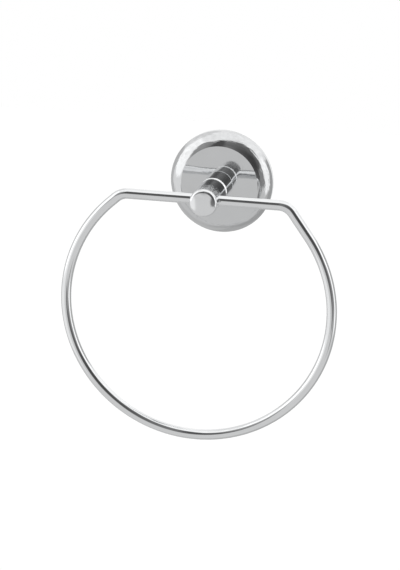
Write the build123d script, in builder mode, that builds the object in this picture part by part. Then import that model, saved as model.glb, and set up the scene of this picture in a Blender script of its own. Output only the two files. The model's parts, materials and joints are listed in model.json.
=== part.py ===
from build123d import *
import math
import os

# A wall-mounted towel ring: a round rosette, a turned post, and a bent wire ring hung in the post.
# The wall is the plane Y = 0, the object stands out of it towards -Y, and Z is up.
# The origin is on the wall, behind the middle of the rosette.
# Lengths are in millimetres, and a "reach" is a distance out from the wall.

# Rosette, the round cover against the wall
rosette_radius = 30.0
rosette_wall = 1.2
skirt_reach = 2.8
rim_round = 2.0
rim_turn = 26.6
shoulder_width = 7.6
shoulder_start_angle = 20.0
face_dome_radius = 300.0
seat_reach = 11.0

# Post, two turned pieces end to end
post_radius = 8.0
sleeve_length = 17.8
head_length = 28.0
tip_dome_radius = 30.0
tip_edge_round = 2.2
joint_groove_length = 1.4
joint_groove_depth = 1.1
foot_chamfer = 0.4
spigot_radius = 5.0
spigot_length = 4.0
spigot_clearance = 0.05
spigot_end_gap = 0.2

# Wire ring
wire_radius = 3.0
hoop_radius = 77.2
hoop_offset = -2.0
corner_half_span = 47.9
corner_bend_radius = 10.0
short_run = 8.5
bar_setback = 10.8
ring_slide = -1.3
wire_end_gap = 0.4
bore_clearance = 0.05
bore_mouth_chamfer = 0.25

# Fixing inside the rosette
plate_thickness = 3.0
plate_edge_chamfer = 0.6
plate_side_gap = 5.8
boss_radius = 8.0
tapped_floor = 0.8
screw_edge_margin = 7.0
screw_hole_radius = 2.25
screw_head_radius = 4.4
stud_radius = 3.0
stud_end_chamfer = 0.5
stud_end_gap = 0.3
stud_side_gap = 0.2
thread_clearance = 0.03
web_behind_bore = 6.15
washer_outer_radius = 5.4
washer_thickness = 1.6
washer_split = 1.0
nut_across_flats = 10.0
nut_thickness = 3.2
nut_corner_radius = 5.5
nut_headroom = 0.4

os.makedirs("parts", exist_ok=True)

# A radial section: its own X is the distance from the post's axis, its own Y is the reach
section = Plane(origin=(0, 0, 0), x_dir=(1, 0, 0), z_dir=(0, 0, -1))


def facing_out(reach):
    """A plane parallel to the wall at this reach, facing away from the wall."""
    return Plane(origin=(0, -reach, 0), x_dir=(1, 0, 0), z_dir=(0, -1, 0))


def dome_height(sphere_radius, radius):
    """How far a dome of this sphere rises between this radius and its middle."""
    return sphere_radius - math.sqrt(sphere_radius**2 - radius**2)


# The post stands on a flat pad as wide as itself, cut in the domed face
face_radius = rosette_radius - shoulder_width
face_centre_reach = seat_reach + dome_height(face_dome_radius, post_radius)
face_edge_reach = face_centre_reach - dome_height(face_dome_radius, face_radius)
ceiling_reach = seat_reach - rosette_wall
clearance_hole_radius = stud_radius + stud_side_gap

# The stack of the post, from the wall outwards
joint_reach = seat_reach + sleeve_length
tip_reach = joint_reach + head_length
bar_reach = tip_reach - bar_setback
spigot_end_reach = joint_reach - spigot_length
bore_radius = wire_radius + bore_clearance
stud_end_reach = bar_reach - bore_radius - web_behind_bore

# Rosette: one spun shell with a domed face, a rounded shoulder and a short skirt, open at the back
with BuildPart() as rosette:
    with BuildSketch(section):
        with BuildLine():
            Line((0, 0), (rosette_radius, 0))
            Line((rosette_radius, 0), (rosette_radius, skirt_reach))
            rim = JernArc((rosette_radius, skirt_reach), (0, 1), rim_round, rim_turn)
            face_edge = Vector(face_radius, face_edge_reach)
            TangentArc(face_edge, rim @ 1, tangent=Vector(1, 0).rotate(Axis.Z, -shoulder_start_angle))
            half_way = (face_radius + post_radius) / 2
            half_way_reach = face_centre_reach - dome_height(face_dome_radius, half_way)
            ThreePointArc(face_edge, (half_way, half_way_reach), (post_radius, seat_reach))
            Line((post_radius, seat_reach), (0, seat_reach))
            Line((0, seat_reach), (0, 0))
        make_face()
    revolve(axis=Axis.Y)
    back = rosette.faces().sort_by(Axis.Y)[-1]
    offset(amount=-rosette_wall, openings=back)
    with BuildSketch(facing_out(0)):
        Circle(clearance_hole_radius)
    extrude(amount=tip_reach, mode=Mode.SUBTRACT)
rosette.part.label = "rosette"
export_step(rosette.part, "parts/rosette.step")

# Post sleeve: the rear half of the post, a turned spacer bored for the stud and the head's spigot
with BuildPart() as post_sleeve:
    with BuildSketch(section):
        with BuildLine():
            Polyline(
                (clearance_hole_radius, seat_reach),
                (post_radius - foot_chamfer, seat_reach),
                (post_radius, seat_reach + foot_chamfer),
                (post_radius, joint_reach - joint_groove_length),
                (post_radius - joint_groove_depth, joint_reach),
                (spigot_radius + spigot_clearance, joint_reach),
                (spigot_radius + spigot_clearance, spigot_end_reach - spigot_end_gap),
                (clearance_hole_radius, spigot_end_reach - spigot_end_gap),
                close=True,
            )
        make_face()
    revolve(axis=Axis.Y)
post_sleeve.part.label = "post_sleeve"
export_step(post_sleeve.part, "parts/post_sleeve.step")

# Post head: the front half, with a spigot, a blind tapped hole, a domed tip and the ring's cross bore
with BuildPart() as post_head:
    tip_edge_reach = tip_reach - dome_height(tip_dome_radius, post_radius)
    with BuildSketch(section):
        with BuildLine():
            Polyline(
                (0, tip_reach),
                (0, spigot_end_reach),
                (spigot_radius, spigot_end_reach),
                (spigot_radius, joint_reach),
                (post_radius - joint_groove_depth, joint_reach),
                (post_radius, joint_reach + joint_groove_length),
                (post_radius, tip_edge_reach),
            )
            half_way_reach = tip_reach - dome_height(tip_dome_radius, post_radius / 2)
            ThreePointArc((post_radius, tip_edge_reach), (post_radius / 2, half_way_reach), (0, tip_reach))
        make_face()
    revolve(axis=Axis.Y)
    full_circles = post_head.edges().filter_by(GeomType.CIRCLE).filter_by(
        lambda edge: abs(edge.radius - post_radius) < 0.01
    )
    fillet(full_circles.sort_by(Axis.Y)[0], radius=tip_edge_round)
    with BuildSketch(facing_out(spigot_end_reach)):
        Circle(stud_radius + thread_clearance)
    extrude(amount=stud_end_reach + stud_end_gap - spigot_end_reach, mode=Mode.SUBTRACT)
    with Locations(Plane(origin=(0, -bar_reach, 0), z_dir=(1, 0, 0))):
        Hole(bore_radius)
    bore_mouths = [
        edge for edge in post_head.edges().filter_by(GeomType.CIRCLE, reverse=True)
        if abs(edge.center().X) > post_radius / 2
    ]
    chamfer(bore_mouths, length=bore_mouth_chamfer)
post_head.part.label = "post_head"
export_step(post_head.part, "parts/post_head.step")

# Wire ring: one rod bent into a flattened hoop, its two ends meeting in the middle of the straight bar
# As bent, the hoop stands a little to the left of the bar, so the left straight run is the shorter one
# Each run leaves its corner and meets the hoop in a tangent, and the shorter one sets how far the hoop hangs down
hoop_x = ring_slide + hoop_offset
left_corner_x = ring_slide - corner_half_span
right_corner_x = ring_slide + corner_half_span
hoop_drop = math.sqrt(hoop_radius**2 + short_run**2 - (hoop_x - left_corner_x) ** 2)


def hoop_tangent(corner_x):
    """Where a line from this corner of the bar touches the hoop, on the corner's own side."""
    across = corner_x - hoop_x
    angle = math.atan2(hoop_drop, abs(across)) - math.acos(hoop_radius / math.hypot(across, hoop_drop))
    return (
        hoop_x + math.copysign(hoop_radius * math.cos(angle), across),
        hoop_radius * math.sin(angle) - hoop_drop,
    )


with BuildPart() as wire_ring:
    with BuildLine(Plane.XZ.offset(bar_reach)) as bent_wire:
        FilletPolyline(
            (ring_slide + wire_end_gap / 2, 0),
            (right_corner_x, 0),
            hoop_tangent(right_corner_x),
            radius=corner_bend_radius,
        )
        ThreePointArc(
            hoop_tangent(right_corner_x),
            (hoop_x, -hoop_drop - hoop_radius),
            hoop_tangent(left_corner_x),
        )
        FilletPolyline(
            hoop_tangent(left_corner_x),
            (left_corner_x, 0),
            (ring_slide - wire_end_gap / 2, 0),
            radius=corner_bend_radius,
        )
    with BuildSketch(Plane(origin=bent_wire.line @ 0, z_dir=bent_wire.line % 0)):
        Circle(wire_radius)
    sweep(path=bent_wire.line)
wire_ring.part.label = "wire_ring"
export_step(wire_ring.part, "parts/wire_ring.step")

# Wall plate: a cast disc with a tapped boss and two countersunk holes on a vertical line
plate_radius = rosette_radius - rosette_wall - plate_side_gap
screw_offset = plate_radius - screw_edge_margin
boss_reach = ceiling_reach - nut_headroom - nut_thickness - washer_thickness
with BuildPart() as wall_plate:
    with BuildSketch(section):
        with BuildLine():
            Polyline(
                (0, 0),
                (plate_radius, 0),
                (plate_radius, plate_thickness - plate_edge_chamfer),
                (plate_radius - plate_edge_chamfer, plate_thickness),
                (boss_radius, plate_thickness),
                (boss_radius, boss_reach),
                (0, boss_reach),
                close=True,
            )
        make_face()
    revolve(axis=Axis.Y)
    with BuildSketch(facing_out(tapped_floor)):
        Circle(stud_radius + thread_clearance)
    extrude(amount=boss_reach, mode=Mode.SUBTRACT)
    with Locations(facing_out(plate_thickness)):
        with Locations((0, screw_offset), (0, -screw_offset)):
            CounterSinkHole(screw_hole_radius, screw_head_radius)
wall_plate.part.label = "wall_plate"
export_step(wall_plate.part, "parts/wall_plate.step")

# Threaded stud: a plain rod of the thread's outer size, from the wall plate into the post head
with BuildPart() as threaded_stud:
    with BuildSketch(facing_out(tapped_floor + stud_end_gap)):
        Circle(stud_radius)
    extrude(amount=stud_end_reach - tapped_floor - stud_end_gap)
    chamfer(threaded_stud.edges().filter_by(GeomType.CIRCLE), length=stud_end_chamfer)
threaded_stud.part.label = "threaded_stud"
export_step(threaded_stud.part, "parts/threaded_stud.step")

# Lock washer: a split spring washer between the boss and the lock nut
with BuildPart() as lock_washer:
    with BuildSketch(facing_out(boss_reach)):
        Circle(washer_outer_radius)
        Circle(clearance_hole_radius, mode=Mode.SUBTRACT)
        with Locations((washer_outer_radius, 0)):
            Rectangle(2 * washer_outer_radius, washer_split, mode=Mode.SUBTRACT)
    extrude(amount=washer_thickness)
lock_washer.part.label = "lock_washer"
export_step(lock_washer.part, "parts/lock_washer.step")

# Lock nut: a thin hexagon nut that keeps the stud from turning in the plate
with BuildPart() as lock_nut:
    with BuildSketch(facing_out(boss_reach + washer_thickness)):
        RegularPolygon(nut_across_flats / 2, side_count=6, major_radius=False)
        Circle(stud_radius + thread_clearance, mode=Mode.SUBTRACT)
    extrude(amount=nut_thickness)
    with BuildSketch(facing_out(boss_reach + washer_thickness)):
        Circle(nut_corner_radius)
    extrude(amount=nut_thickness, mode=Mode.INTERSECT)
lock_nut.part.label = "lock_nut"
export_step(lock_nut.part, "parts/lock_nut.step")
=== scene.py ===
import bpy
import json
import math
from mathutils import Matrix, Vector


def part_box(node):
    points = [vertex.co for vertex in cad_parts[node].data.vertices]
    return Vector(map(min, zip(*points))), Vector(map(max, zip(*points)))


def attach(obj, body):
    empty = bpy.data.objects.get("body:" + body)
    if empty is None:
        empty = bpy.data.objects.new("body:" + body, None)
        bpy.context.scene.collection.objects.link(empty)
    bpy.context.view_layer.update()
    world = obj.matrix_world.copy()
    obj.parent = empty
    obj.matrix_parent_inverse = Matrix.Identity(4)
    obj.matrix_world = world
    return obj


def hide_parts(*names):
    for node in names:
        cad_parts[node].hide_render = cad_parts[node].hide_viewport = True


# A wall-mounted towel ring in chrome-plated brass: a round rosette, a turned post and a swinging ring.
# The frame's origin is on the wall behind the rosette, the object stands out towards -Y, and Z is up.

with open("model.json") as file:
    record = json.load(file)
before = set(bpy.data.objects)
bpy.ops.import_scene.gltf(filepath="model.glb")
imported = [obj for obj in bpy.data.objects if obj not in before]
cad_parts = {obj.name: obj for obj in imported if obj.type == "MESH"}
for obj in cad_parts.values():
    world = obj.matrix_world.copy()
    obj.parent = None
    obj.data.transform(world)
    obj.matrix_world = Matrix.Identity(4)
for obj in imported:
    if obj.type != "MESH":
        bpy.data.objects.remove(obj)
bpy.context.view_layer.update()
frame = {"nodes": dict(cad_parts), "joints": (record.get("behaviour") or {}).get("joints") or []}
mm = 0.001
bpy.ops.object.select_all(action="DESELECT")


# WALL PLATE
# The real piece is a disc of zinc alloy, die cast with a boss for the stud and two holes for screws.
# It hangs on two wall screws inside the rosette, so only its back and a ring of its edge are ever seen.

cast_grey = "#9A9B9C"
cast_grey_dark = "#7C7D7F"
cast_grain = 0.5 * mm
flow_mark = 9.0 * mm
cast_pit_spacing = 1.6 * mm
grain_height = 0.03 * mm
pit_height = 0.04 * mm
cast_roughness = (0.42, 0.58)


def linear(hex_colour):
    """An sRGB hex colour as linear red, green, blue and alpha."""
    channels = [int(hex_colour[i:i + 2], 16) / 255 for i in (1, 3, 5)]
    return [c / 12.92 if c <= 0.04045 else ((c + 0.055) / 1.055) ** 2.4 for c in channels] + [1.0]


def add(tree, kind, inputs=None, **settings):
    """Adds one node with its settings. Each input is a value, or an output socket to link from."""
    node = tree.nodes.new(kind)
    for name, value in settings.items():
        setattr(node, name, value)
    for socket, value in (inputs or {}).items():
        if isinstance(value, bpy.types.NodeSocket):
            tree.links.new(value, node.inputs[socket])
        else:
            node.inputs[socket].default_value = value
    return node


def new_material(name):
    """A new material and its empty node tree."""
    material = bpy.data.materials.new(name)
    material.use_nodes = True
    material.node_tree.nodes.clear()
    return material, material.node_tree


def per(size):
    """The scale that gives a noise pattern features of this size, in metres."""
    return 1.0 / size


# Die-cast zinc alloy, left as it came from the mould: a dull grey skin with flow marks and a fine grain.
die_cast_zinc, tree = new_material("die_cast_zinc_alloy")
place = add(tree, "ShaderNodeTexCoord").outputs["Object"]
flow = add(tree, "ShaderNodeTexNoise",
           {"Vector": place, "Scale": per(flow_mark), "Detail": 5.0, "Distortion": 0.8})
grain = add(tree, "ShaderNodeTexNoise", {"Vector": place, "Scale": per(cast_grain), "Detail": 3.0})
pits = add(tree, "ShaderNodeTexVoronoi", {"Vector": place, "Scale": per(cast_pit_spacing)})
pit_depth = add(tree, "ShaderNodeMapRange",
                {"Value": pits.outputs["Distance"], "From Min": 0.02, "From Max": 0.16})
colour = add(tree, "ShaderNodeMix",
             {"Factor": flow.outputs["Fac"], "A": linear(cast_grey_dark), "B": linear(cast_grey)},
             data_type="RGBA")
dull = add(tree, "ShaderNodeMapRange",
           {"Value": flow.outputs["Fac"], "From Min": 0.3, "From Max": 0.7,
            "To Min": cast_roughness[0], "To Max": cast_roughness[1]})
skin = add(tree, "ShaderNodeBump",
           {"Height": grain.outputs["Fac"], "Strength": 0.6, "Distance": grain_height})
pitted = add(tree, "ShaderNodeBump",
             {"Height": pit_depth.outputs["Result"], "Strength": 0.5, "Distance": pit_height,
              "Normal": skin.outputs["Normal"]})
surface = add(tree, "ShaderNodeBsdfPrincipled", {"Base Color": colour.outputs["Result"], "Metallic": 1.0,
                                                 "Roughness": dull.outputs["Result"],
                                                 "Normal": pitted.outputs["Normal"]})
add(tree, "ShaderNodeOutputMaterial", {"Surface": surface.outputs["BSDF"]})
frame["nodes"]["wall_plate"].data.materials[0] = die_cast_zinc


# THREADED STUD
# The real piece is a length of M6 rod in zinc-plated steel, its thread rolled and both ends chamfered.
# It is screwed into the wall plate, passes through the rosette and the sleeve, and holds the head.

stud_low, stud_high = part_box("threaded_stud")
stud_radius = stud_high.x
stud_chamfer = 0.5 * mm
thread_pitch = 1.0 * mm
thread_depth = 0.61 * mm
rows_per_pitch = 8
stud_sides = 48
zinc_blue = "#C2C6CB"
zinc_yellow = "#CBC7B9"
passivate_blotch = 5.0 * mm
drawn_line = 0.2 * mm
drawn_line_height = 0.01 * mm
zinc_roughness = (0.18, 0.36)

# Bright zinc plate: a pale metal with a faint blue and yellow bloom from its passivating bath.
zinc_plate, tree = new_material("bright_zinc_plated_steel")
place = add(tree, "ShaderNodeTexCoord").outputs["Object"]
bloom = add(tree, "ShaderNodeTexNoise", {"Vector": place, "Scale": per(passivate_blotch), "Detail": 3.0})
lines = add(tree, "ShaderNodeTexNoise", {"Vector": place, "Scale": per(drawn_line), "Detail": 2.0})
colour = add(tree, "ShaderNodeMix",
             {"Factor": bloom.outputs["Fac"], "A": linear(zinc_blue), "B": linear(zinc_yellow)},
             data_type="RGBA")
satin = add(tree, "ShaderNodeMapRange",
            {"Value": lines.outputs["Fac"], "To Min": zinc_roughness[0], "To Max": zinc_roughness[1]})
relief = add(tree, "ShaderNodeBump",
             {"Height": lines.outputs["Fac"], "Strength": 0.3, "Distance": drawn_line_height})
surface = add(tree, "ShaderNodeBsdfPrincipled", {"Base Color": colour.outputs["Result"], "Metallic": 1.0,
                                                 "Roughness": satin.outputs["Result"],
                                                 "Normal": relief.outputs["Normal"]})
add(tree, "ShaderNodeOutputMaterial", {"Surface": surface.outputs["BSDF"]})


def thread_profile(turn):
    """How deep the thread is cut, from 0 to 1, along its pitch: a crest, a flank, a root and a flank."""
    crest, root_start, root_end = 0.12, 0.44, 0.68
    if turn < crest:
        return 0.0
    if turn < root_start:
        return (turn - crest) / (root_start - crest)
    if turn < root_end:
        return 1.0
    return (1.0 - turn) / (1.0 - root_end)


stud_length = stud_high.y - stud_low.y
row_count = round(stud_length / thread_pitch * rows_per_pitch)
points = []
faces = []
for row in range(row_count + 1):
    along = stud_length * row / row_count
    limit = stud_radius - max(0.0, stud_chamfer - min(along, stud_length - along))
    for side in range(stud_sides):
        angle = 2 * math.pi * side / stud_sides
        cut = thread_profile((along / thread_pitch + side / stud_sides) % 1.0)
        radius = min(limit, stud_radius - thread_depth * cut)
        points.append((radius * math.cos(angle), stud_low.y + along, radius * math.sin(angle)))
for row in range(row_count):
    for side in range(stud_sides):
        a = row * stud_sides + side
        b = row * stud_sides + (side + 1) % stud_sides
        faces.append((a, a + stud_sides, b + stud_sides, b))
first_ring = list(range(stud_sides))
faces.append(first_ring)
faces.append([row_count * stud_sides + k for k in reversed(first_ring)])
stud_mesh = bpy.data.meshes.new("m6_threaded_stud")
stud_mesh.from_pydata(points, [], faces)
stud_mesh.materials.append(zinc_plate)
stud = bpy.data.objects.new("m6_threaded_stud", stud_mesh)
bpy.context.scene.collection.objects.link(stud)
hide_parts("threaded_stud")
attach(stud, "holder")


# LOCK WASHER AND LOCK NUT
# The real pieces are a split spring washer and a hexagon nut, both of zinc-plated steel.
# They clamp the post to the plate, inside the rosette, and keep their CAD shapes.

for node in ("lock_washer", "lock_nut"):
    frame["nodes"][node].data.materials[0] = zinc_plate


# ROSETTE
# The real piece is a cover of thin brass sheet, spun over a form, then polished and chrome plated.
# It slips over the wall plate, and the post clamps it at its middle.

rosette_low, rosette_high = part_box("rosette")
sleeve_low, sleeve_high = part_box("post_sleeve")
rosette_radius = rosette_high.x
seat_reach = -rosette_low.y
post_radius = sleeve_high.x
sheet = 1.2 * mm
skirt_reach = 2.8 * mm
rim_round = 2.0 * mm
rim_turn = math.radians(26.6)
shoulder_width = 7.6 * mm
shoulder_start = math.radians(20)
dome_radius = 300.0 * mm
stud_hole = 3.2 * mm
spin_steps = 288
rim_steps = 12
shoulder_steps = 40
inner_shoulder_steps = 30
dome_steps = 24
crease_angle = math.radians(14)
cover_tint = ("#DADBDC", "#E0E1E2")
polish_wave = 9.0 * mm
cover_wave_depth = 0.05 * mm
spin_mark = 0.45 * mm
spin_mark_depth = 0.002 * mm
mark_turns = 4.0
mark_hub = 2.0 * mm
facet_width = 2.6 * mm
facet_depth = 0.15 * mm
scratch_width = 0.15 * mm
scratch_length = 7.0 * mm
scratch_depth = 0.004 * mm
scratch_turn = (math.radians(12), math.radians(38), math.radians(-24))
scratch_threshold = (0.64, 0.70)
scratch_roughness = 0.05
chrome_roughness = (0.03, 0.07)


def arc(centre, radius, start, end, steps):
    """Points along an arc of a profile, from one angle to another, both ends included."""
    angles = [start + (end - start) * k / steps for k in range(steps + 1)]
    return [(centre[0] + radius * math.cos(a), centre[1] + radius * math.sin(a)) for a in angles]


def finish_piece(tree, geometry, sharp_angle, metal):
    """Ends a tree: smooth shading with creases over an angle, plain geometry, and the metal."""
    smooth = add(tree, "GeometryNodeSetShadeSmooth", {"Geometry": geometry}, domain="FACE")
    bend = add(tree, "GeometryNodeInputMeshEdgeAngle")
    crease = add(tree, "FunctionNodeCompare", {"A": bend.outputs["Unsigned Angle"], "B": sharp_angle},
                 data_type="FLOAT", operation="GREATER_THAN")
    edged = add(tree, "GeometryNodeSetShadeSmooth", {"Geometry": smooth.outputs["Geometry"],
                                                     "Selection": crease.outputs["Result"],
                                                     "Shade Smooth": False},
                domain="EDGE")
    real = add(tree, "GeometryNodeRealizeInstances", {"Geometry": edged.outputs["Geometry"]})
    plated = add(tree, "GeometryNodeSetMaterial",
                 {"Geometry": real.outputs["Geometry"], "Material": metal})
    add(tree, "NodeGroupOutput", {"Piece": plated.outputs["Geometry"]})


def lathe_tree():
    """Geometry Nodes that spin an object's own outline about the post's axis, as a lathe does."""
    tree = bpy.data.node_groups.new("turned_piece", "GeometryNodeTree")
    tree.interface.new_socket(name="Outline", in_out="INPUT", socket_type="NodeSocketGeometry")
    tree.interface.new_socket(name="Steps", in_out="INPUT", socket_type="NodeSocketInt")
    tree.interface.new_socket(name="Sharp Angle", in_out="INPUT", socket_type="NodeSocketFloat")
    tree.interface.new_socket(name="Metal", in_out="INPUT", socket_type="NodeSocketMaterial")
    tree.interface.new_socket(name="Piece", in_out="OUTPUT", socket_type="NodeSocketGeometry")
    given = add(tree, "NodeGroupInput")
    hub = 1.0 * mm
    weld = 0.002 * mm
    shifted = add(tree, "GeometryNodeTransform",
                  {"Geometry": given.outputs["Outline"], "Translation": (-hub, 0, 0)})
    outline = add(tree, "GeometryNodeMeshToCurve", {"Mesh": shifted.outputs["Geometry"]})
    turn = add(tree, "GeometryNodeCurvePrimitiveCircle",
               {"Resolution": given.outputs["Steps"], "Radius": hub}, mode="RADIUS")
    spun = add(tree, "GeometryNodeCurveToMesh", {"Curve": turn.outputs["Curve"],
                                                 "Profile Curve": outline.outputs["Curve"]})
    closed = add(tree, "GeometryNodeMergeByDistance",
                 {"Geometry": spun.outputs["Mesh"], "Distance": weld})
    facing = add(tree, "GeometryNodeTransform", {"Geometry": closed.outputs["Geometry"],
                                                 "Rotation": (math.radians(-90), 0, 0)})
    finish_piece(tree, facing.outputs["Geometry"], given.outputs["Sharp Angle"], given.outputs["Metal"])
    return tree


def outline_mesh(name, points):
    """A closed loop of edges through the points of a profile, each a radius and a reach."""
    mesh = bpy.data.meshes.new(name)
    edges = [(k, (k + 1) % len(points)) for k in range(len(points))]
    mesh.from_pydata([(x, y, 0) for x, y in points], edges, [])
    return mesh


def grown(name, start_mesh, tree, sizes):
    """The plain mesh object that a Geometry Nodes tree makes from a start mesh and its named sizes."""
    seed = bpy.data.objects.new(name + "_seed", start_mesh)
    bpy.context.scene.collection.objects.link(seed)
    modifier = seed.modifiers.new("grow", "NODES")
    modifier.node_group = tree
    for item in tree.interface.items_tree:
        if item.in_out == "INPUT" and item.name in sizes:
            modifier[item.identifier] = sizes[item.name]
    bpy.context.view_layer.update()
    shown = seed.evaluated_get(bpy.context.evaluated_depsgraph_get())
    mesh = bpy.data.meshes.new_from_object(shown, depsgraph=bpy.context.evaluated_depsgraph_get())
    mesh.name = name
    piece = bpy.data.objects.new(name, mesh)
    bpy.context.scene.collection.objects.link(piece)
    bpy.data.objects.remove(seed)
    return piece


def offset_from_axis(tree):
    """Which way and how far a point lies from the post's axis."""
    place = add(tree, "ShaderNodeTexCoord").outputs["Object"]
    return add(tree, "ShaderNodeVectorMath", {0: place, 1: (1, 0, 1)},
               operation="MULTIPLY").outputs["Vector"]


def from_axis(tree):
    """How far a point lies from the post's axis."""
    offset = offset_from_axis(tree)
    return add(tree, "ShaderNodeVectorMath", {0: offset}, operation="LENGTH").outputs["Value"]


def reach_of(tree):
    """Where a point lies along the post's axis. It is 0 at the wall and falls towards the tip."""
    place = add(tree, "ShaderNodeTexCoord").outputs["Object"]
    return add(tree, "ShaderNodeSeparateXYZ", {"Vector": place}).outputs["Y"]


def marks_round_the_axis(tree, width):
    """Coordinates for marks that run round the post's axis: this wide across, and long round it."""
    flat = offset_from_axis(tree)
    radius = from_axis(tree)
    spread = add(tree, "ShaderNodeMath", {0: radius, 1: mark_hub}, operation="MAXIMUM").outputs["Value"]
    turns = add(tree, "ShaderNodeMath", {0: mark_turns, 1: spread}, operation="DIVIDE").outputs["Value"]
    around = add(tree, "ShaderNodeVectorMath", {0: flat, "Scale": turns},
                 operation="SCALE").outputs["Vector"]
    travel = add(tree, "ShaderNodeMath", {0: radius, 1: reach_of(tree)}, operation="ADD").outputs["Value"]
    fine = add(tree, "ShaderNodeMath", {0: travel, 1: per(width)}, operation="MULTIPLY").outputs["Value"]
    across = add(tree, "ShaderNodeCombineXYZ", {"Y": fine}).outputs["Vector"]
    return add(tree, "ShaderNodeVectorMath", {0: around, 1: across}, operation="ADD").outputs["Vector"]


def chrome_plate(name, tint, marks, mark_depth, wave_depth, dents=None):
    """Polished chrome: waves from the polishing wheel, marks along the way it was worked, and scratches.

    Dents, where given, is a function that adds the larger unevenness of one piece and gives its normal.
    """
    material, tree = new_material(name)
    place = add(tree, "ShaderNodeTexCoord").outputs["Object"]
    waves = add(tree, "ShaderNodeTexNoise", {"Vector": place, "Scale": per(polish_wave), "Detail": 1.0})
    lines = add(tree, "ShaderNodeTexNoise", {"Vector": marks(tree), "Scale": 1.0, "Detail": 3.0})
    turned = add(tree, "ShaderNodeMapping", {"Vector": place, "Rotation": scratch_turn,
                                             "Scale": (per(scratch_width), per(scratch_length),
                                                       per(scratch_length))})
    wiped = add(tree, "ShaderNodeTexNoise",
                {"Vector": turned.outputs["Vector"], "Scale": 1.0, "Detail": 1.0})
    scratches = add(tree, "ShaderNodeMapRange",
                    {"Value": wiped.outputs["Fac"], "From Min": scratch_threshold[0],
                     "From Max": scratch_threshold[1]})
    colour = add(tree, "ShaderNodeMix",
                 {"Factor": waves.outputs["Fac"], "A": linear(tint[0]), "B": linear(tint[1])},
                 data_type="RGBA")
    haze = add(tree, "ShaderNodeMapRange",
               {"Value": lines.outputs["Fac"], "From Min": 0.3, "From Max": 0.7,
                "To Min": chrome_roughness[0], "To Max": chrome_roughness[1]})
    rougher = add(tree, "ShaderNodeMath",
                  {0: scratches.outputs["Result"], 1: scratch_roughness, 2: haze.outputs["Result"]},
                  operation="MULTIPLY_ADD")
    waved = add(tree, "ShaderNodeBump",
                {"Height": waves.outputs["Fac"], "Strength": 1.0, "Distance": wave_depth})
    if dents:
        tree.links.new(dents(tree), waved.inputs["Normal"])
    marked = add(tree, "ShaderNodeBump",
                 {"Height": lines.outputs["Fac"], "Strength": 1.0, "Distance": mark_depth,
                  "Normal": waved.outputs["Normal"]})
    worn = add(tree, "ShaderNodeBump",
               {"Height": scratches.outputs["Result"], "Strength": 0.3, "Distance": scratch_depth,
                "Normal": marked.outputs["Normal"]}, invert=True)
    surface = add(tree, "ShaderNodeBsdfPrincipled",
                  {"Base Color": colour.outputs["Result"], "Metallic": 1.0,
                   "Roughness": rougher.outputs["Value"], "Normal": worn.outputs["Normal"]})
    add(tree, "ShaderNodeOutputMaterial", {"Surface": surface.outputs["BSDF"]})
    return material


def shoulder_dents(tree):
    """The normal of the rosette: the polishing wheel left shallow facets on its shoulder only."""
    facets = add(tree, "ShaderNodeTexNoise",
                 {"Vector": marks_round_the_axis(tree, facet_width), "Scale": 1.0, "Detail": 3.0})
    steep = add(tree, "ShaderNodeMapRange", {"Value": from_axis(tree), "From Min": face_radius,
                                             "From Max": face_radius + facet_width,
                                             "To Max": facet_depth})
    return add(tree, "ShaderNodeBump", {"Height": facets.outputs["Fac"], "Strength": 1.0,
                                        "Distance": steep.outputs["Result"]}).outputs["Normal"]


# Chrome over spun brass: a mirror, a little darker than the wire, with faint rings from the spinning.
# The rings and the scratches are drawn wider than real ones, which are too fine for the picture to show.
face_radius = rosette_radius - shoulder_width
spun_chrome = chrome_plate("chrome_plated_spun_brass", cover_tint,
                           lambda tree: marks_round_the_axis(tree, spin_mark), spin_mark_depth,
                           cover_wave_depth, shoulder_dents)

dome_centre_reach = seat_reach - math.sqrt(dome_radius**2 - post_radius**2)
face_edge_reach = dome_centre_reach + math.sqrt(dome_radius**2 - face_radius**2)
rim_end = (rosette_radius - rim_round * (1 - math.cos(rim_turn)),
           skirt_reach + rim_round * math.sin(rim_turn))
inward = (-math.sin(shoulder_start), -math.cos(shoulder_start))
chord = (rim_end[0] - face_radius, rim_end[1] - face_edge_reach)
shoulder_radius = (chord[0]**2 + chord[1]**2) / (2 * (chord[0] * inward[0] + chord[1] * inward[1]))
shoulder_centre = (face_radius + inward[0] * shoulder_radius,
                   face_edge_reach + inward[1] * shoulder_radius)
shoulder_top = math.pi / 2 - shoulder_start
shoulder_end = math.atan2(rim_end[1] - shoulder_centre[1], rim_end[0] - shoulder_centre[0])
face_slope = math.pi / 2 - math.asin(face_radius / dome_radius)
pad_slope = math.pi / 2 - math.asin(post_radius / dome_radius)
outside = [(rosette_radius, 0)]
outside += arc((rosette_radius - rim_round, skirt_reach), rim_round, 0, rim_turn, rim_steps)
outside += arc(shoulder_centre, shoulder_radius, shoulder_end, shoulder_top, shoulder_steps)[1:]
outside += arc((0, dome_centre_reach), dome_radius, face_slope, pad_slope, dome_steps)[1:]
outside += [(stud_hole, seat_reach)]
inside = [(stud_hole, seat_reach - sheet)]
inside += arc((0, dome_centre_reach), dome_radius - sheet, pad_slope, face_slope, dome_steps)
inside += arc(shoulder_centre, shoulder_radius - sheet, shoulder_top, shoulder_end, inner_shoulder_steps)
inside += [(rosette_radius - sheet, 0)]
rosette = grown("rosette_cover", outline_mesh("rosette_outline", outside + inside), lathe_tree(),
                {"Steps": spin_steps, "Sharp Angle": crease_angle, "Metal": spun_chrome})
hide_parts("rosette")
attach(rosette, "holder")


# POST SLEEVE AND HEAD
# The real pieces are turned from brass bar, polished and chrome plated, and meet in a shallow groove.
# The sleeve stands on the rosette. The head screws onto the stud and holds the ring in its cross bore.

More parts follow.
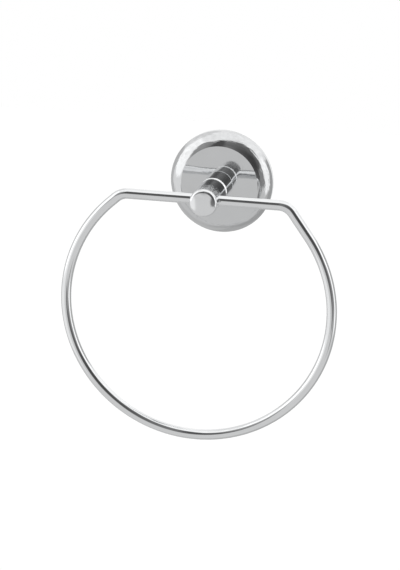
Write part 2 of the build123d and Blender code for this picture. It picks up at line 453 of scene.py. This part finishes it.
bright_tint = ("#ECEDEE", "#F2F3F4")
post_wave_depth = 0.03 * mm
turning_mark = 0.5 * mm
turning_mark_depth = 0.004 * mm
streak_width = 1.1 * mm
streak_depth = 0.16 * mm
streak_start = 33.0 * mm
streak_full = 47.0 * mm
side_start = post_radius - 0.6 * mm
side_full = post_radius - 0.1 * mm
pole_radius = 1.1 * mm


def head_streaks(tree):
    """The normal of the post, round whose front half the polishing left broken streaks. The tip is smooth.

    At the very middle of the tip the faces of the mesh meet in one point, and are shaded flat.
    """
    streaks = add(tree, "ShaderNodeTexNoise",
                  {"Vector": marks_round_the_axis(tree, streak_width), "Scale": 1.0, "Detail": 2.0})
    forward = add(tree, "ShaderNodeMapRange",
                  {"Value": reach_of(tree), "From Min": -streak_start, "From Max": -streak_full,
                   "To Max": streak_depth})
    side = add(tree, "ShaderNodeMapRange", {"Value": from_axis(tree), "From Min": side_start,
                                            "From Max": side_full})
    depth = add(tree, "ShaderNodeMath", {0: forward.outputs["Result"], 1: side.outputs["Result"]},
                operation="MULTIPLY")
    own = add(tree, "ShaderNodeNewGeometry").outputs
    off_pole = add(tree, "ShaderNodeMath", {0: from_axis(tree), 1: pole_radius}, operation="GREATER_THAN")
    normal = add(tree, "ShaderNodeMix", {"Factor": off_pole.outputs["Value"], "A": own["True Normal"],
                                         "B": own["Normal"]}, data_type="VECTOR")
    return add(tree, "ShaderNodeBump", {"Height": streaks.outputs["Fac"], "Strength": 1.0,
                                        "Distance": depth.outputs["Value"],
                                        "Normal": normal.outputs["Result"]}).outputs["Normal"]


# Chrome over turned brass: a bright mirror that still shows the fine rings of the lathe tool. The streaks
# are drawn wider and deeper than real ones, so that the picture shows them.
turned_chrome = chrome_plate("chrome_plated_turned_brass", bright_tint,
                             lambda tree: marks_round_the_axis(tree, turning_mark), turning_mark_depth,
                             post_wave_depth, head_streaks)
for node in ("post_sleeve", "post_head"):
    frame["nodes"][node].data.materials[0] = turned_chrome


# WIRE RING
# The real piece is one rod of brass wire, bent to a hoop with a flat top, polished and chrome plated.
# Its two ends meet inside the post's cross bore, in which the ring turns.

ring_low, ring_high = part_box("wire_ring")
pivot = Vector(frame["joints"][0]["pos_m"])
wire_radius = ring_high.z - pivot.z
hoop_x = (ring_low.x + ring_high.x) / 2
hoop_radius = (ring_high.x - ring_low.x) / 2 - wire_radius
hoop_drop = -ring_low.z - wire_radius - hoop_radius
bar_x = -1.3 * mm
corner_half_span = 47.9 * mm
corner_bend = 10.0 * mm
end_gap = 0.4 * mm
bend_steps = 24
hoop_steps = 170
section_steps = 64
draw_line = 0.35 * mm
draw_line_depth = 0.002 * mm
draw_length = 14.0 * mm
wire_wave_depth = 0.03 * mm
wire_crease_angle = math.radians(40)


def join(tree, *parts):
    """Joins several geometries into one."""
    node = tree.nodes.new("GeometryNodeJoinGeometry")
    for part in parts:
        tree.links.new(part, node.inputs["Geometry"])
    return node.outputs["Geometry"]


def one_curve(tree, *curves):
    """Welds curves end to end into one."""
    edges = add(tree, "GeometryNodeCurveToMesh", {"Curve": join(tree, *curves)})
    welded = add(tree, "GeometryNodeMergeByDistance",
                 {"Geometry": edges.outputs["Mesh"], "Distance": 0.01 * mm})
    return add(tree, "GeometryNodeMeshToCurve", {"Mesh": welded.outputs["Geometry"]}).outputs["Curve"]


def kept(tree, geometry, kind, value):
    """Stores a value on a curve's points, and gives the curve and the stored value."""
    node = tree.nodes.new("GeometryNodeCaptureAttribute")
    node.capture_items.new(kind, "kept")
    tree.links.new(geometry, node.inputs["Geometry"])
    tree.links.new(value, node.inputs["kept"])
    return node.outputs["Geometry"], node.outputs["kept"]


def wire_tree():
    """Geometry Nodes that bend one round rod: a straight bar, two rounded corners and a hoop."""
    tree = bpy.data.node_groups.new("bent_wire", "GeometryNodeTree")
    sockets = ["Wire Radius", "Hoop Radius", "Corner Bend"]
    for side in ("Right", "Left"):
        sockets += [side + " Bar End", side + " Corner", side + " Tangent", side + " Sweep"]
    tree.interface.new_socket(name="Start", in_out="INPUT", socket_type="NodeSocketGeometry")
    for name in sockets:
        kind = "NodeSocketFloat" if name.endswith(("Radius", "Bend", "Sweep")) else "NodeSocketVector"
        tree.interface.new_socket(name=name, in_out="INPUT", socket_type=kind)
    for name in ("Hoop Middle", "Place"):
        tree.interface.new_socket(name=name, in_out="INPUT", socket_type="NodeSocketVector")
    tree.interface.new_socket(name="Metal", in_out="INPUT", socket_type="NodeSocketMaterial")
    tree.interface.new_socket(name="Piece", in_out="OUTPUT", socket_type="NodeSocketGeometry")
    size = add(tree, "NodeGroupInput").outputs
    halves = []
    for side in ("Right", "Left"):
        bar = add(tree, "GeometryNodeCurvePrimitiveLine", {"Start": size[side + " Bar End"],
                                                           "End": size[side + " Corner"]})
        run = add(tree, "GeometryNodeCurvePrimitiveLine", {"Start": size[side + " Corner"],
                                                           "End": size[side + " Tangent"]})
        arm = one_curve(tree, bar.outputs["Curve"], run.outputs["Curve"])
        bent = add(tree, "GeometryNodeFilletCurve", {"Curve": arm, "Count": bend_steps,
                                                     "Radius": size["Corner Bend"]}, mode="POLY")
        quarter = add(tree, "GeometryNodeCurveArc",
                      {"Resolution": hoop_steps, "Radius": size["Hoop Radius"],
                       "Start Angle": math.radians(-90),
                       "Sweep Angle": size[side + " Sweep"]}, mode="RADIUS")
        hung = add(tree, "GeometryNodeTransform", {"Geometry": quarter.outputs["Curve"],
                                                   "Translation": size["Hoop Middle"]})
        halves += [bent.outputs["Curve"], hung.outputs["Geometry"]]
    section = add(tree, "GeometryNodeCurvePrimitiveCircle", {"Resolution": section_steps,
                                                             "Radius": size["Wire Radius"]},
                  mode="RADIUS")
    run, along = kept(tree, one_curve(tree, *halves), "FLOAT",
                      add(tree, "GeometryNodeSplineParameter").outputs["Length"])
    ring, around = kept(tree, section.outputs["Curve"], "VECTOR",
                        add(tree, "GeometryNodeInputPosition").outputs["Position"])
    rod = add(tree, "GeometryNodeCurveToMesh", {"Curve": run, "Profile Curve": ring, "Fill Caps": True})
    around_xyz = add(tree, "ShaderNodeSeparateXYZ", {"Vector": around}).outputs
    straight = add(tree, "ShaderNodeCombineXYZ", {"X": along, "Y": around_xyz["X"], "Z": around_xyz["Y"]})
    marked = add(tree, "GeometryNodeStoreNamedAttribute",
                 {"Geometry": rod.outputs["Mesh"], "Name": "straightened",
                  "Value": straight.outputs["Vector"]},
                 data_type="FLOAT_VECTOR", domain="POINT")
    upright = add(tree, "GeometryNodeTransform",
                  {"Geometry": marked.outputs["Geometry"], "Translation": size["Place"],
                   "Rotation": (math.radians(90), 0, 0)})
    finish_piece(tree, upright.outputs["Geometry"], wire_crease_angle, size["Metal"])
    return tree


def side_of_hoop(side, name):
    """The named sizes of one half of the ring, on the side +1 or -1 of the bar's middle."""
    corner = bar_x + side * corner_half_span
    across = abs(corner - hoop_x)
    tangent = math.atan2(hoop_drop, across) - math.acos(hoop_radius / math.hypot(across, hoop_drop))
    touch = (hoop_x + side * hoop_radius * math.cos(tangent),
             hoop_radius * math.sin(tangent) - hoop_drop, 0)
    return {name + " Bar End": (bar_x + side * end_gap / 2, 0, 0), name + " Corner": (corner, 0, 0),
            name + " Tangent": touch, name + " Sweep": side * (math.pi / 2 + tangent)}


def marks_along_the_wire(tree):
    """Coordinates for marks that run lengthwise on the wire, from the place stored on its mesh."""
    rod = add(tree, "ShaderNodeAttribute", attribute_name="straightened")
    return add(tree, "ShaderNodeVectorMath",
               {0: rod.outputs["Vector"], 1: (per(draw_length), per(draw_line), per(draw_line))},
               operation="MULTIPLY").outputs["Vector"]


# Chrome over drawn brass wire: a bright mirror with faint lines along its length.
drawn_chrome = chrome_plate("chrome_plated_brass_wire", bright_tint, marks_along_the_wire,
                            draw_line_depth, wire_wave_depth)
ring = grown("bent_wire_ring", bpy.data.meshes.new("ring_start"), wire_tree(), {
    "Wire Radius": wire_radius, "Hoop Radius": hoop_radius, "Corner Bend": corner_bend,
    "Hoop Middle": (hoop_x, -hoop_drop, 0), "Place": (0, pivot.y, pivot.z), "Metal": drawn_chrome,
    **side_of_hoop(1, "Right"), **side_of_hoop(-1, "Left")})
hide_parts("wire_ring")
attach(ring, "ring")


# STUDIO
# A plain pale floor below the object, in a white tent with soft walls. The camera sees plain white.
# Metal sees the tent as it is: bright at the sides and above, grey below, dark at the front opening.

floor_drop = 320.0 * mm
floor_size = 3.0
floor_white = "#F4F4F4"
floor_lift = 0.12
floor_mesh = bpy.data.meshes.new("floor")
half = floor_size / 2
floor_mesh.from_pydata([(-half, -half, -floor_drop), (half, -half, -floor_drop),
                        (half, half, -floor_drop), (-half, half, -floor_drop)], [], [(0, 1, 2, 3)])
floor = bpy.data.objects.new("floor", floor_mesh)
bpy.context.scene.collection.objects.link(floor)
floor.visible_glossy = False
pale_floor, tree = new_material("matt_white_paper")
matt = add(tree, "ShaderNodeBsdfDiffuse", {"Color": linear(floor_white)})
light_path = add(tree, "ShaderNodeLightPath")
lift = add(tree, "ShaderNodeMath", {0: light_path.outputs["Is Camera Ray"], 1: floor_lift},
           operation="MULTIPLY")
glow = add(tree, "ShaderNodeEmission", {"Color": linear("#FFFFFF"), "Strength": lift.outputs["Value"]})
both = add(tree, "ShaderNodeAddShader", {0: matt.outputs["BSDF"], 1: glow.outputs["Emission"]})
add(tree, "ShaderNodeOutputMaterial", {"Surface": both.outputs["Shader"]})
floor_mesh.materials.append(pale_floor)

world = bpy.data.worlds.new("light_tent")
bpy.context.scene.world = world
world.use_nodes = True
tree = world.node_tree
tree.nodes.clear()
towards_sky = add(tree, "ShaderNodeTexCoord").outputs["Generated"]
sky = add(tree, "ShaderNodeSeparateXYZ", {"Vector": towards_sky}).outputs
front = add(tree, "ShaderNodeMath", {0: sky["Y"], 1: -1.0}, operation="MULTIPLY").outputs["Value"]
azimuth = add(tree, "ShaderNodeMath", {0: sky["X"], 1: front}, operation="ARCTAN2").outputs["Value"]
elevation = add(tree, "ShaderNodeMath", {0: sky["Z"]}, operation="ARCSINE").outputs["Value"]
aim = add(tree, "ShaderNodeCombineXYZ", {"X": azimuth, "Y": elevation}).outputs["Vector"]


def panels_over(tree, level, panels):
    """The brightness by direction with these panels hung in front, each over the ones before it."""
    for panel in panels.values():
        middle = (math.radians(panel["middle"][0]), math.radians(panel["middle"][1]), 0)
        half = (math.radians(panel["half"][0]), math.radians(panel["half"][1]), 1)
        offset = add(tree, "ShaderNodeVectorMath", {0: aim, 1: middle},
                     operation="SUBTRACT").outputs["Vector"]
        share = add(tree, "ShaderNodeVectorMath", {0: offset, 1: half},
                    operation="DIVIDE").outputs["Vector"]
        square = add(tree, "ShaderNodeVectorMath", {0: share, 1: share},
                     operation="MULTIPLY").outputs["Vector"]
        fourth = add(tree, "ShaderNodeVectorMath", {0: square, 1: square},
                     operation="DOT_PRODUCT").outputs["Value"]
        out = add(tree, "ShaderNodeMath", {0: fourth, 1: 0.25}, operation="POWER").outputs["Value"]
        cover = add(tree, "ShaderNodeMapRange", {"Value": out, "From Min": 1 - panel["soft"],
                                                 "From Max": 1 + panel["soft"], "To Min": 1.0,
                                                 "To Max": 0.0},
                    interpolation_type="SMOOTHSTEP").outputs["Result"]
        level = add(tree, "ShaderNodeMix", {"Factor": cover, "A": level, "B": panel["level"]},
                    data_type="FLOAT").outputs["Result"]
    return level


# Each panel of the tent is a rounded rectangle of directions. It has a brightness, where 1 is white, the
# azimuth and elevation of its middle, half its width and height, and how soft its edge is as a share of
# those halves. Azimuth 0 is straight in front of the wall, and 90 degrees is on the right.
backdrop = 1.0
opening_edge = 0.36
folds_per_radian = (3.0, 8.0, 1.0)
fold_shades = (0.86, 1.06)
opening = panels_over(tree, opening_edge, {
    "dim room": dict(level=0.21, middle=(36, 30), half=(66, 90), soft=0.2),
    "darkest, low on the right": dict(level=0.062, middle=(33, 18), half=(23, 24), soft=0.9),
})
level = panels_over(tree, backdrop, {
    "table below": dict(level=0.50, middle=(0, -64), half=(300, 42), soft=0.1),
    "table in front": dict(level=0.66, middle=(0, -20), half=(106, 55), soft=0.1),
    "low wall on the left": dict(level=0.58, middle=(-127, -40), half=(28, 62), soft=0.12),
    "low wall on the right": dict(level=0.43, middle=(119, -39), half=(27, 62), soft=0.06),
    "high wall on the left": dict(level=0.84, middle=(-127, 62), half=(29, 40), soft=0.2),
    "high wall on the right": dict(level=1.12, middle=(124, 62), half=(36, 40), soft=0.06),
    "roof": dict(level=1.1, middle=(0, 92), half=(300, 27), soft=0.16),
    "front above the table": dict(level=1.1, middle=(-3, 46), half=(98, 26), soft=0.15),
    "paper on the left": dict(level=0.9, middle=(-66, -15), half=(38, 19), soft=0.1),
    "left lamp": dict(level=1.3, middle=(-74, 20), half=(24, 29), soft=0.1),
    "right lamp": dict(level=1.18, middle=(80, 22), half=(15, 47), soft=0.1),
    "right lamp's middle": dict(level=1.4, middle=(82, 18), half=(8, 10), soft=0.5),
    "opening on the left": dict(level=opening, middle=(-15, 27), half=(36, 20), soft=0.14),
    "opening": dict(level=opening, middle=(22, 36), half=(44, 28), soft=0.12),
    "dark gap on the left": dict(level=0.09, middle=(-16, 36), half=(8, 22), soft=0.4),
    "opening below, on the right": dict(level=opening, middle=(33, 6), half=(22, 18), soft=0.14),
    "opening below the middle": dict(level=opening, middle=(19, -5), half=(13, 15), soft=0.16),
    "shelf on the right": dict(level=0.29, middle=(56, -3), half=(12, 12), soft=0.3),
    "opening at the table": dict(level=0.24, middle=(44, -18), half=(8, 12), soft=0.4),
})
# The cloth of the tent hangs in soft folds, some paler and some darker. The table below is smooth.
above_table = add(tree, "ShaderNodeMapRange", {"Value": elevation, "From Min": math.radians(-8),
                                               "From Max": math.radians(14)}).outputs["Result"]
folds = add(tree, "ShaderNodeVectorMath", {0: aim, 1: folds_per_radian},
            operation="MULTIPLY").outputs["Vector"]
cloth = add(tree, "ShaderNodeTexNoise", {"Vector": folds, "Scale": 1.0, "Detail": 2.0, "Distortion": 0.6})
folded = add(tree, "ShaderNodeMapRange",
             {"Value": cloth.outputs["Fac"], "From Min": 0.35, "From Max": 0.65,
              "To Min": fold_shades[0], "To Max": fold_shades[1]})
shade = add(tree, "ShaderNodeMix", {"Factor": above_table, "A": 1.0, "B": folded.outputs["Result"]},
            data_type="FLOAT").outputs["Result"]
level = add(tree, "ShaderNodeMath", {0: level, 1: shade}, operation="MULTIPLY").outputs["Value"]
light_path = add(tree, "ShaderNodeLightPath")
strength = add(tree, "ShaderNodeMix",
               {"Factor": light_path.outputs["Is Glossy Ray"], "A": 1.0, "B": level}, data_type="FLOAT")
glow = add(tree, "ShaderNodeBackground",
           {"Color": linear("#FFFFFF"), "Strength": strength.outputs["Result"]})
add(tree, "ShaderNodeOutputWorld", {"Surface": glow.outputs["Background"]})


# CAMERA
# The photograph was taken from a little above and to the right, with a long lens and a slight roll.

photo_width = 400
photo_height = 570
origin_column = 222.75
origin_row = 180.28
mm_per_pixel = 0.5776 * mm
camera_distance = 1600.0 * mm
camera_azimuth = math.radians(11.6)
camera_elevation = math.radians(16.4)
camera_roll = math.radians(1.5)
sensor = 36.0
towards = Vector((math.sin(camera_azimuth) * math.cos(camera_elevation),
                  -math.cos(camera_azimuth) * math.cos(camera_elevation), math.sin(camera_elevation)))
level_right = Vector((math.cos(camera_azimuth), math.sin(camera_azimuth), 0))
level_up = towards.cross(level_right)
right = math.cos(camera_roll) * level_right + math.sin(camera_roll) * level_up
up = math.cos(camera_roll) * level_up - math.sin(camera_roll) * level_right
place = (camera_distance * towards - (origin_column - photo_width / 2) * mm_per_pixel * right
         - (photo_height / 2 - origin_row) * mm_per_pixel * up)
camera_data = bpy.data.cameras.new("camera")
camera_data.sensor_width = sensor
camera_data.lens = camera_distance / mm_per_pixel * sensor / photo_height
camera_data.clip_start = 10.0 * mm
camera = bpy.data.objects.new("camera", camera_data)
camera.matrix_world = Matrix.Translation(place) @ Matrix((right, up, towards)).transposed().to_4x4()
bpy.context.scene.collection.objects.link(camera)
bpy.context.scene.camera = camera
bpy.context.scene.view_settings.view_transform = "Standard"
